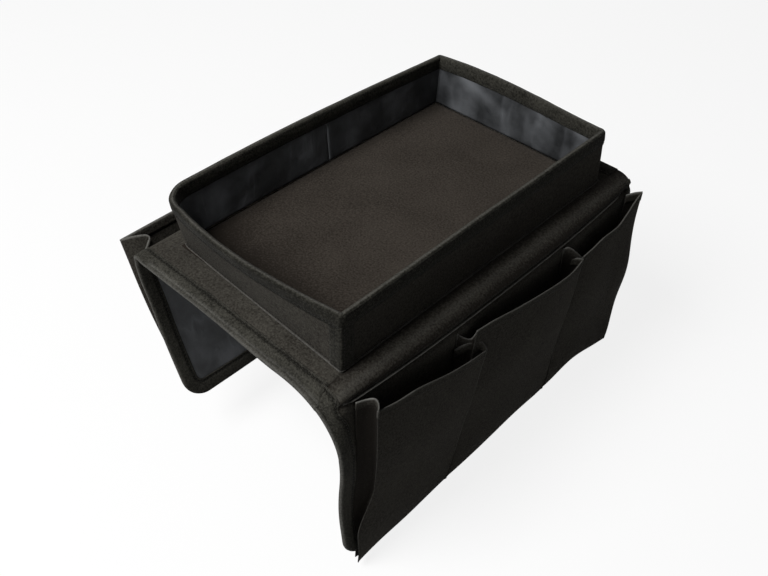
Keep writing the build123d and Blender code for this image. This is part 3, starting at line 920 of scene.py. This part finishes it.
# %% Fold seams
low, high = near_edge + 8, far_edge - edge_fold["leg"] + 2
ridge_height, ridge_half_width, ridge_shown = 2.8, 0.95, 7.0
ridge_middle, ridge_root, ridge_taper = 0.6, 0.3, 25
stitch_h, stitch_depth = -2.6, -0.1
for name, (side, reach) in sides.items():
    def ridge(s, t):
        angle = math.pi * s
        rise = ridge_height * ease(t * ridge_taper) * ease((1 - t) * ridge_taper)
        return skin_layer(side, ridge_middle - ridge_half_width * math.cos(angle), mix(low, high, t),
                          ridge_root - rise * math.sin(angle))

    cut_cloth(name + "_fold_seam", (8, 180), ridge, (10, high - low), oxford_cloth, thickness=0.3,
              turned=side < 0, rubbing_and_painted_light=lambda s, t: 0.9 * math.sin(math.pi * s),
              follow=bend_at_fold(name),
              sheet={"area": ridge_shown * MM * (high - low) * MM, "held": "folded",
                     "rests_on": [name + "_flap_cover"]})
    stitch_row(name + "_fold_seam_stitches",
               lambda share: skin_layer(side, stitch_h, mix(low, high, share), stitch_depth),
               lambda share: skin_normal(side, stitch_h, mix(low, high, share)),
               follow=bend_at_fold(name))
print("fold seams are", round(high - low, 1), "mm long")

# %% [markdown]
# ## Tray walls
# The tray is a ring of boards in cloth. Its outline is four edges and four corners: the near right
# corner is sharp, because it is bound, and the near left one is round. The long left wall and the
# near wall bow outward at the rim. A plain rounded box would lose that, so one function gives the
# wall at any height and depth, between an outline at its foot and one at its rim.

# %% Tray outline
base_corners = ((99.3, -161.5), (98.0, 161.5), (-98.0, 161.5), (-99.5, -152.0))
rim_corners = ((98.3, -158.8), (96.3, 161.3), (-96.8, 163.2), (-106.2, -164.5))
base_radii = (1.6, 5.0, 3.0, 12.0)
rim_radii = (1.6, 5.0, 3.0, 30.0)
rim_bows = ((0.0, 1.0), (5.8, 1.5), (4.0, 1.3), (7.8, 0.85))
wall_foot, wall_top, wall_thick = 4.0, 54.8, 4.0
corner_share = 0.14
tray_width, tray_length = 196, 320
lap_length = 2 * (tray_width + tray_length)


def wall_point(lap, height, inset):
    """A point of the wall. lap counts the four edges round the tray, from the near right corner."""
    up = (height - wall_foot) / (wall_top - wall_foot)
    corners, radii = [], []
    for base, rim, low, high in zip(base_corners, rim_corners, base_radii, rim_radii):
        x, y = mix(base[0], rim[0], up), mix(base[1], rim[1], up)
        corners.append(Vector((x - math.copysign(inset, x), y - math.copysign(inset, y))))
        radii.append(max(mix(low, high, up) - inset, 0.6))
    lap %= 4
    edge = int(lap)
    share = lap - edge
    a, b, c = corners[edge], corners[(edge + 1) % 4], corners[(edge + 2) % 4]
    run, next_run = (b - a).normalized(), (c - b).normalized()
    radius = radii[(edge + 1) % 4]
    start, end = a + run * radii[edge], b - run * radius
    if share < 1 - corner_share:
        along = share / (1 - corner_share)
        most, skew = rim_bows[edge]
        point = start.lerp(end, along)
        point += Vector((run.y, -run.x)) * most * up * math.sin(math.pi * along ** skew)
    else:
        turned = (share - 1 + corner_share) / corner_share * math.pi / 2
        centre = end + next_run * radius
        point = centre + (end - centre) * math.cos(turned)
        point += (b + next_run * radius - centre) * math.sin(turned)
    return Vector((point.x, point.y, height))


def wall_out(lap, height):
    """The level direction straight out from the wall."""
    step = 0.004
    run = wall_point(lap + step, height, 0) - wall_point(lap - step, height, 0)
    return Vector((run.y, -run.x, 0)).normalized()


print("round the tray:", lap_length, "mm")

# %% [markdown]
# The outer cover is one strip that goes right round and meets itself at the near right corner, under
# the corner's tape. Four panels would be simpler, but their edges would show at the round corner. Sewn
# cloth is never quite flat, so it gets shallow ripples. Nobody sees the boards inside it, which keep
# the walls upright.


# %% Outer cover and boards
def outer_cover(s, t):
    height = mix(wall_foot, wall_top + 0.6, t)
    loose = 0.55 * ripple(4 * s * 200, height, 46, 1.3) * math.sin(math.pi * t)
    return wall_point(4 * s, height, 0) + wall_out(4 * s, height) * loose


def wall_painted_shade(s, t):
    """Painted shade on the lower middle of the right wall, which stands in the dark between the tray and the
    roll.
    """
    return -0.45 * hump(s, 0.115, 0.085) * hump(t, 0.3, 0.35)


cover_height = 51
on_walls = {"held": "stretched", "rests_on": ["tray_left_board"]}
cut_cloth("tray_outer_cover", (300, 26), outer_cover, (lap_length, cover_height), oxford_cloth,
          closed=True, rubbing_and_painted_light=wall_painted_shade, sheet=on_walls)

half_corner = 1 - corner_share / 2
wall_laps = {"right": (-corner_share / 2, half_corner), "far": (half_corner, 1 + half_corner),
             "left": (1 + half_corner, 2 + half_corner), "near": (2 + half_corner, 3 + half_corner)}
board_low, board_high, board_inset, board_gap = 4.6, 53.6, 1.0, 0.01
for name, (start, end) in wall_laps.items():
    cut_cloth("tray_" + name + "_board", (30, 4),
              lambda s, t: wall_point(mix(start + board_gap, end - board_gap, s),
                                      mix(board_low, board_high, t), board_inset),
              (200, 50), stiff_board, thickness=1.8)
print("walls:", sorted(wall_laps))

# %% [markdown]
# The linings hang a little loose between floor and rim. The left one is two lengths that meet at an
# upright seam. Flat panels would look like board, so two sizes of slanted ripple shape the cloth. Where
# the photograph shows a fold that catches the light, a painted highlight goes into the cloth's colour,
# because it changes the colour far more than the shape. The left lining gets painted shade towards the
# near left corner.

# %% Linings
floor_top = 6.8
lining_height = 48
seam_lap = 1 + half_corner + 0.49
lining_laps = {**wall_laps, "left_far": (wall_laps["left"][0], seam_lap),
               "left_near": (seam_lap, wall_laps["left"][1])}
del lining_laps["left"]


def far_lining_painted_highlights(s, t):
    """Painted highlights where two folds cross the far lining slantwise and catch the light, and a thin
    light line near its left end; the rest is a little darker.
    """
    x, height = tray_width * (0.5 - s), wall_foot + 50 * t
    long_fold = hump(height + 0.45 * (x + 70), 50, 6) * hump(x, -45, 26)
    short_fold = hump(height + 0.3 * (x - 68), 42, 4) * hump(x, 68, 14)
    return 0.6 * long_fold + 0.5 * short_fold + 0.35 * hump(x, -84, 4) - 0.1


# Painted light on the linings: highlights on the far lining's folds, a thin light line beside the left
# lining's upright seam, and painted shade towards the near left corner.
lining_painted_light = {"far": far_lining_painted_highlights,
                "left_far": lambda s, t: 0.8 * hump(s, 1, 0.012),
                "left_near": lambda s, t: 0.8 * hump(s, 0, 0.012) - 0.3 * hump(s, 1, 0.25)}
for number, (name, (start, end)) in enumerate(sorted(lining_laps.items())):
    side_length, slack = (tray_width, 0.9) if name in ("near", "far") else (tray_length, 0.55)
    run = (end - start) * side_length

    def lining_place(s, t):
        lap, height = mix(start, end, s), mix(floor_top - 0.4, wall_top, t)
        hold = min(1, 6 * s, 6 * (1 - s)) * math.sin(math.pi * t) ** 0.7
        fold = ripple(run * s + 1.6 * height, height * 0.5, 21, number + 4.2)
        fold += 0.6 * ripple(run * s - 0.9 * height, height, 9, number + 9.1)
        loose = slack * hold * (0.5 + fold)
        return wall_point(lap, height, wall_thick - 0.2) - wall_out(lap, height) * loose

    cut_cloth("tray_" + name + "_lining", (int(run / 2.6), 24), lining_place, (run, lining_height),
              coated_lining, thickness=0.5, turned=True, rubbing_and_painted_light=lining_painted_light.get(name), sheet=on_walls)
print("linings:", sorted(lining_laps))

# %% [markdown]
# The floor is one cloth over its own board. A flat plane would look like painted board, so the cloth
# sits a little higher in the middle than at the walls, where the seam pulls it down, and it is a
# little uneven in between.

# %% Tray floor
floor_half_width, floor_near, floor_far = 94.2, -155.2, 157.6
floor_flat = (188, 313)


def floor_place(s, t):
    x, y = mix(-floor_half_width, floor_half_width, s), mix(floor_near, floor_far, t)
    hold = min(1.0, 14 * s, 14 * (1 - s), 22 * t, 22 * (1 - t))
    puff = 0.9 * ease(hold) + 0.35 * ripple(x, y, 70, 2.2) * hold + 0.12 * ripple(x, y, 18, 5.2) * hold
    return x, y, floor_top - 0.9 + puff


def floor_painted_shadow(s, t):
    """Painted shadow: the floor is darker along the near wall, which shades it, and in the near left corner.
    """
    return -0.6 * hump(t, 0, 0.16) - 0.3 * hump(s, 0, 0.12) * hump(t, 0, 0.4)


cut_cloth("tray_floor_cover", (90, 150), floor_place, floor_flat, floor_cloth, rubbing_and_painted_light=floor_painted_shadow,
          sheet={"held": "laid", "rests_on": ["tray_floor_board"]})
cut_cloth("tray_floor_board", (2, 2), flat_board(93, -153, 156, 5.2), floor_flat, stiff_board,
          thickness=1.1)
print("floor at", floor_top, "mm")

# %% [markdown]
# ## Rim binding, corner tape and foot seam
# The rim's tape is folded over all the layers, so it is the thickest and softest edge. It has one row
# of stitches on each face. The near right corner has an upright tape with two rows, and a fine corded
# seam runs round the foot of the walls. A curve with a bevel would do for a cord, but a tape is flat.
# Bent cloth follows the wall's own outline and keeps its weave along the strip.

# %% Rim binding
rim_fold = {"leg": 11.0, "flat": 28.0, "stitch": 8.8, "turn": 0.4, "lip": 0.5, "reach": 2.1,
            "lift": 0.75, "puff": 0.4, "groove": 0.35, "groove_width": 1.0, "round": 0.8, "tuck": 0.1}
rim_stitches = {"outer": 0.85, "inner": -wall_thick - 0.75}
on_cover = {"held": "folded", "rests_on": ["tray_outer_cover"]}


def rim_point(s, down, out):
    """A point of the rim's tape, down from the rim and out from the wall. It is a little uneven."""
    height = wall_top - down + 0.5 * ripple(s * 1000, 0, 60, 8.8)
    worn = 0.22 * ripple(s * 1000, down * 3, 8, 6.4)
    return wall_point(4 * s, height, 0) + wall_out(4 * s, height) * (out + worn)


cut_cloth("tray_rim_binding", (420, 22),
          lambda s, t: rim_point(s, *tape_section(t, wall_thick, rim_fold)),
          (lap_length, rim_fold["flat"]), edge_tape, thickness=0.5, closed=True, rubbing_and_painted_light=rim_rubbing,
          sheet=on_cover)
for label, out in rim_stitches.items():
    stitch_row("tray_rim_stitches_" + label, lambda q: rim_point(q, rim_fold["stitch"], out),
               lambda q: wall_out(4 * q, wall_top) * math.copysign(1, out), samples=900)
print("rim tape is", lap_length, "mm long")

# %% Corner tape
corner_reach = (-0.115, 0.098)


def corner_lap(s):
    """Where the corner's tape lies round the tray, from its near edge to its right edge."""
    return 4 - corner_share / 2 + mix(*corner_reach, s)


def corner_point(s, t, lift=0.0):
    height = mix(wall_foot + 1.6, wall_top - rim_fold["leg"] + 1.5, t)
    lap = corner_lap(s)
    return wall_point(lap, height, 0) + wall_out(lap, height) * (0.75 + lift)


cut_cloth("tray_corner_binding", (30, 16), corner_point, (20, 40), edge_tape, thickness=0.6,
          rubbing_and_painted_light=lambda s, t: 0.25 * hump(s, 0.5, 0.06) - 0.3, sheet=on_cover)
for label, s in (("near", 0.12), ("right", 0.88)):
    stitch_row("tray_corner_stitches_" + label, lambda q: corner_point(s, q, 0.1),
               lambda q: wall_out(corner_lap(s), 30))
print("corner tape sewn up the near right corner")


# %% Foot seam
def foot_bead(s, t):
    angle = math.pi * (t - 0.1) * 1.2
    height = wall_foot + 1.3 - 1.2 * math.cos(angle)
    return wall_point(4 * s, height, 0) + wall_out(4 * s, wall_foot) * (1.1 * math.sin(angle))


bead_shown = 3.2
foot_stitch = wall_foot + 4.4
cut_cloth("tray_base_seam", (360, 7), foot_bead, (lap_length, 10), oxford_cloth, thickness=0.3,
          closed=True, rubbing_and_painted_light=lambda s, t: 0.55 * math.sin(math.pi * t),
          sheet={"area": bead_shown * MM * lap_length * MM, "held": "folded", "rests_on": ["deck_cover"]})
stitch_row("tray_base_stitches",
           lambda q: wall_point(4 * q, foot_stitch, 0) + wall_out(4 * q, 8) * 0.2,
           lambda q: wall_out(4 * q, 8), samples=900)
print("foot seam is", lap_length, "mm long")

# %% [markdown]
# ## Pockets
# The pockets on the right are one long strip of cloth: it is stitched to the flap at four upright
# lines, and folded forward and back between them, so each pocket stands open. Each pocket is made as
# one cloth of pleat, front and pleat. Its section at any height is a smooth line through a few named
# points, and the sections flatten towards the bottom seam. A cloth simulation would fold it too, but
# not into these folds.


# %% A line through named points
def spread_shares(points):
    """Where each point lies along the mouth's line, as a share of its length, and that length."""
    places = [0.0]
    for a, b in zip(points, points[1:]):
        places.append(places[-1] + (Vector(b[:3]) - Vector(a[:3])).length)
    return [place / places[-1] for place in places], places[-1]


def between(points, number, f, sharp):
    """A point f of the way from one named point to the next. It turns softly but at sharp ones."""
    p1, p2 = points[number], points[number + 1]
    p0 = points[number - 1] if number > 0 and number not in sharp else p1
    p3 = points[number + 2] if number + 2 < len(points) and number + 1 not in sharp else p2
    return [0.5 * (2 * b + (c - a) * f + (2 * a - 5 * b + 4 * c - d) * f * f
                   + (3 * b - a - 3 * c + d) * f ** 3) for a, b, c, d in zip(p0, p1, p2, p3)]


def on_strip(facts, s):
    """Where s lies among the named points, and the numbers of the mouth and the foot there."""
    shares, s = facts["shares"], min(max(s, 0), 1)
    number = 0
    while number < len(shares) - 2 and shares[number + 1] < s:
        number += 1
    f = (s - shares[number]) / (shares[number + 1] - shares[number])
    return number + f, between(facts["points"], number, f, facts["sharp"])


print("half-way along a straight line:", between(((0, 0), (4, 2)), 0, 0.5, (0, 1)))

# %% Sewing a pocket
hem_depth, hem_stitch = 9.0, 7.0
hem_turn = 0.93
a_little = 0.004


def into_pocket(point, s, side):
    """The level direction from the mouth into the pocket."""
    run = point(min(s + a_little, 1), 1) - point(max(s - a_little, 0), 1)
    return Vector((-run.y, run.x, 0)).normalized() * side


def hem_rubbing(s, t):
    return 0.9 * hump(t, hem_turn, 0.008)


def sew_pocket(name, facts, point, rubbing_and_painted_light):
    """Sews a pocket. Its hem is folded in: t runs from the foot to the mouth and back down inside."""
    flap = name.split("_")[0] + "_flap"
    side = 1 if flap == "right_flap" else -1
    drop = facts["drop"]
    first, last = [facts["shares"][number] for number in facts["sharp"]]

    def turned_hem(s, t):
        if t <= hem_turn:
            return point(s, t / hem_turn)
        turn = (t - hem_turn) / (1 - hem_turn)
        inside = point(s, 1 - hem_depth * turn / drop)
        return inside + into_pocket(point, s, side) * 1.3 * ease(turn * 6)

    def follow(piece):
        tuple(facts["start"])
        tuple(facts["end"])
        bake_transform(piece)

    def stitched(share):
        return mix(first + facts["gap"], last - facts["gap"], share)

    def out(share):
        return -into_pocket(point, stitched(share), side)

    cut_cloth(name + "_front", facts["cuts"], turned_hem, (facts["length"], facts["height"]),
              oxford_cloth, thickness=0.7, turned=side < 0, rubbing_and_painted_light=rubbing_and_painted_light, follow=follow,
              nodes=[name + "_front", name + "_near_pleat", name + "_far_pleat"],
              sheet={"held": "hung", "rests_on": [flap + "_cover"]})
    stitch_row(name + "_hem_stitches",
               lambda share: point(stitched(share), 1 - hem_stitch / drop) + out(share) * 0.15,
               out, follow=follow)


print("hem folded in:", hem_depth, "mm")

# %% [markdown]
# Each named point is a place (x, y, z) of the mouth in millimetres, read against the photograph, and
# then the (x, y) of the same point at the foot. The front lies between the two sharp points. Far up,
# the near fold of the first pocket hangs straight, and it slants to the flap's corner only low down,
# which "late" describes.

# %% The right flap's pockets
pocket_foot_level = -193.2
right_sewing = {"cuts": (150, 84), "height": 195, "drop": 176, "gap": 0.01,
                "start": (0.1225, 0, -0.1), "end": (0.1335, 0, -0.1)}
right_pockets = {
    "right_pocket_1": {
        "points": ((120.6, -168, -4.5, 120.3, -174), (123.2, -160.5, -5.2, 120.8, -170.5),
                   (127.2, -156.6, -4.2, 121.3, -167.5), (130.2, -156.0, -6.8, 122.2, -167.5),
                   (131.5, -157.6, -14, 125.3, -176.8), (133.4, -138, -17.5, 123.6, -155),
                   (134.2, -115.8, -20.6, 122.8, -135), (134.8, -81.4, -31.2, 122.6, -100),
                   (134.2, -55, -38, 122.6, -78), (132.6, -32.5, -43.6, 122.6, -61),
                   (129.4, -35, -36, 122.3, -62.5), (125.6, -44, -30, 121.9, -63.3),
                   (121, -61.5, -30, 121.5, -64)),
        "sharp": (4, 9), "late": (3.8, 2.4), "bulge": 2.0},
    "right_pocket_2": {
        "points": ((120.8, -59, -14.5, 121.3, -62), (123.0, -53.5, -21, 121.6, -61),
                   (125.8, -46.5, -25.5, 122, -60), (128.4, -43.4, -17.5, 122.4, -59),
                   (130.6, -24, -17.6, 122.8, -40), (132.6, 0, -21.2, 122.9, -15),
                   (134.6, 30, -24.7, 122.9, 20), (135.0, 60, -28.8, 122.9, 48),
                   (134.2, 80, -30.4, 122.8, 66), (132.2, 97.6, -28, 122.6, 80),
                   (126.4, 91, -26, 122.0, 78), (121, 84, -27, 121.5, 77)),
        "sharp": (3, 9), "late": (0, 0.1), "bulge": 2.0},
    "right_pocket_3": {
        "points": ((120.8, 79, -12, 121.3, 79.5), (123.6, 84, -12, 121.7, 81),
                   (127.2, 91, -19, 122.1, 82), (129.8, 99, -29, 122.5, 83.5),
                   (130.8, 114, -26, 122.9, 100), (131.0, 128, -23.2, 123, 115),
                   (130.8, 141, -24, 123, 130), (130.2, 155, -24.3, 123.2, 148),
                   (129.9, 166, -18, 123.8, 163), (129.6, 177, -10, 124.6, 176),
                   (129.4, 187, -4.5, 125.4, 184.5), (125, 181, -4.5, 122.6, 181),
                   (120.6, 173.5, -5.5, 120.8, 178)),
        "sharp": (3, 10), "late": (0, 0.1), "bulge": 3.0},
}
print("points:", {name: len(facts["points"]) for name, facts in right_pockets.items()})


# %% The strip's shape
def right_pocket_point(facts, s, rise):
    """A point of a pocket's cloth: s runs along the strip, rise from the foot to the mouth."""
    at, (mouth_x, mouth_y, mouth_z, foot_x, foot_y) = on_strip(facts, s)
    z = mix(pocket_foot_level + hem_lift(foot_y), mouth_z, rise)
    centre, width = facts["late"]
    late = max(0.0, 1 - abs(at - centre) / width)
    y = mix(foot_y, mouth_y, mix(rise, ease((rise - 0.2) / 0.27), late))
    x = mix(foot_x, mouth_x, rise ** 0.85)
    first, last = facts["sharp"]
    along = min(max((at - first) / (last - first), 0), 1)
    x += facts["bulge"] * math.sin(math.pi * along) ** 0.6 * math.sin(math.pi * rise)
    if y > 150:
        y += 4.4 * ease((y - 150) / 30) * hump(rise, 0.42, 0.2)
        x += 2.4 * ease((y - 150) / 30) * hump(rise, 0.5, 0.22)
    x += 1.1 * ripple(y, z * 0.6, 42, 11.3) * ease(rise * 5) * ease((1 - rise) * 6)
    x += (right_wave(y, z) - right_hang_x) * (1 - rise)
    return Vector((x, y, z))


print("pocket strip's foot at the middle:", round(pocket_foot_level + hem_lift(0), 1), "mm")

# %% Sew the right pockets
for name, facts in right_pockets.items():
    facts.update(right_sewing)
    facts["shares"], facts["length"] = spread_shares(facts["points"])
    first, last = [facts["shares"][number] for number in facts["sharp"]]
    divided = name != "right_pocket_1"

    def rubbing_and_painted_light(s, t):
        """Light lines along the hem, the two folds and the root, and painted shade down the pleats, which
        fold inwards.
        """
        at = s * facts["length"]
        fold = 0.5 * hump(at, first * facts["length"], 1.1)
        fold += 0.8 * hump(at, last * facts["length"], 1.6)
        root = 1.5 * hump(at, 0, 1.7) * ease((t - 0.6) * 5) * divided
        # Painted shade on the inward-folded pleats below the hem, which also makes the hem's light line
        # stronger there.
        pleat = 0.7 * ease((first - 0.01 - s) * 60) + 0.5 * ease((s - last - 0.01) * 60)
        return hem_rubbing(s, t) * (1 + pleat) + fold + root - pleat * ease((0.91 - t) * 30)

    sew_pocket(name, facts, lambda s, rise: right_pocket_point(facts, s, rise), rubbing_and_painted_light)
    print(name, "is cut from", round(facts["length"]), "mm of strip")

# %% [markdown]
# ## The left pocket
# The left flap has one wide pocket for papers. It is made the same way, in the leaning flap's own
# directions: u out from the flap, y along it and w up it from the fold. Points in x and z would have
# to be worked out again whenever the lean changed. Its far half mirrors the near one.

# %% The left pocket
left_foot_w = -147.5
near_half = ((2.5, -182.5, -8, 2.4, -170), (3.6, -173, 3, 2.6, -168), (6.0, -165.3, 11.2, 2.8, -166),
             (14.5, -174, 13.2, 3.2, -168), (24.8, -182.5, 11.4, 3.6, -170),
             (26.5, -120, 11.2, 4.2, -115))
far_half = tuple((u, -y, w, foot_u, -foot_y) for u, y, w, foot_u, foot_y in reversed(near_half))
left_facts = {"points": near_half + ((27.5, 0, 10.7, 4.4, 0),) + far_half, "sharp": (4, 8),
              "cuts": (200, 70), "height": 172, "drop": 155, "gap": 0.005,
              "start": (-0.1215, 0, -0.0060), "end": (-0.1375, 0, -0.0106)}
left_facts["shares"], left_facts["length"] = spread_shares(left_facts["points"])


def left_pocket_point(s, rise):
    at, (mouth_u, mouth_y, mouth_w, foot_u, foot_y) = on_strip(left_facts, s)
    w = mix(left_foot_w, mouth_w, rise)
    y = mix(foot_y, mouth_y, ease(rise * 4) * 0.8 + 0.2 * rise)
    u = mix(foot_u, mouth_u, rise ** 0.9) + left_belly(y) * math.sin(math.pi * rise)
    u += 1.0 * ripple(y, w, 45, 21.7) * ease(rise * 5) * ease((1 - rise) * 6)
    return Vector((-118 - u * math.cos(left_lean) - w * math.sin(left_lean), y,
                   fold_level - u * math.sin(left_lean) + w * math.cos(left_lean)))


sew_pocket("left_pocket", left_facts, left_pocket_point, hem_rubbing)
print("left pocket strip is", round(left_facts["length"]), "mm long")

# %% [markdown]
# ## Floor and light
# The object stands on a plain pale floor. The light is one large soft lamp high over the near end,
# a little to the left. It gives the top and the near faces their grey and leaves the side with the
# pockets to the light that the floor throws back. The floor and the surroundings are white to the
# camera by themselves, so the backdrop needs no extra light on the object.


# %% Floor
def seen_directly(nodes, share):
    """share for what the camera, a mirror or clear glass sees, and 0 for the light itself."""
    camera_ray, glossy, through = [nodes.node("ShaderNodeLightPath", output=name) for name in
                                   ("Is Camera Ray", "Is Glossy Ray", "Is Transmission Ray")]
    return camera_ray.maths("MAXIMUM", glossy).maths("MAXIMUM", through) * share


floor_height = -201.5
shown_grey, lighting_grey = (0.93, 0.93, 0.93), (0.42, 0.42, 0.42)
floor_paint = Paint("stage_floor", Roughness=0.9, Specular_IOR_Level=0.1)
floor_paint.link(floor_paint.blend_colours(seen_directly(floor_paint, 1.0), lighting_grey, shown_grey),
                 "Base Color")
glow = floor_paint.node("ShaderNodeEmission", {}, {"Color": (1, 1, 1, 1), "Strength": 1.0})
lit_floor = floor_paint.node("ShaderNodeMixShader", {},
                             {0: seen_directly(floor_paint, 0.85),
                              1: Channel(floor_paint, floor_paint.surface.outputs[0]), 2: glow})
floor_paint.tree.links.new(lit_floor.socket, floor_paint.tree.nodes["Material Output"].inputs[0])
stage_floor = bmesh.new()
bmesh.ops.create_grid(stage_floor, x_segments=1, y_segments=1, size=6,
                      matrix=Matrix.Translation((0, 0, floor_height * MM)))
floor = to_object("stage_floor", stage_floor, floor_paint.material)
floor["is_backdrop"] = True
print("floor", -floor_height, "mm under the deck")

# %% Surroundings and lamp
world = bpy.data.worlds.new("studio")
bpy.context.scene.world = world
world.use_nodes = True
room_light = 0.03
background = world.node_tree.nodes["Background"]
background.inputs["Color"].default_value = (1, 1, 1, 1)
room = seen_directly(Nodes(world.node_tree), 1 - room_light) + room_light
world.node_tree.links.new(room.socket, background.inputs["Strength"])

lamp_data = bpy.data.lights.new("key_lamp", "AREA")
lamp_data.shape, lamp_data.size, lamp_data.energy = "SQUARE", 1.0, 57
key_lamp = bpy.data.objects.new("key_lamp", lamp_data)
bpy.context.scene.collection.objects.link(key_lamp)
key_lamp.location = (-0.38, -1.25, 1.65)
towards_tray = -Vector(key_lamp.location)
key_lamp.rotation_euler = towards_tray.to_track_quat("-Z", "Y").to_euler()
bpy.context.scene.view_settings.view_transform = "Standard"
print("lamp", [round(v, 2) for v in key_lamp.location], "m from the tray")

# %% Measure the size and finish
size_report["visual"] = [list(corner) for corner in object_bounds()]
print("box:", [[round(v * 1000, 1) for v in corner] for corner in size_report["visual"]])
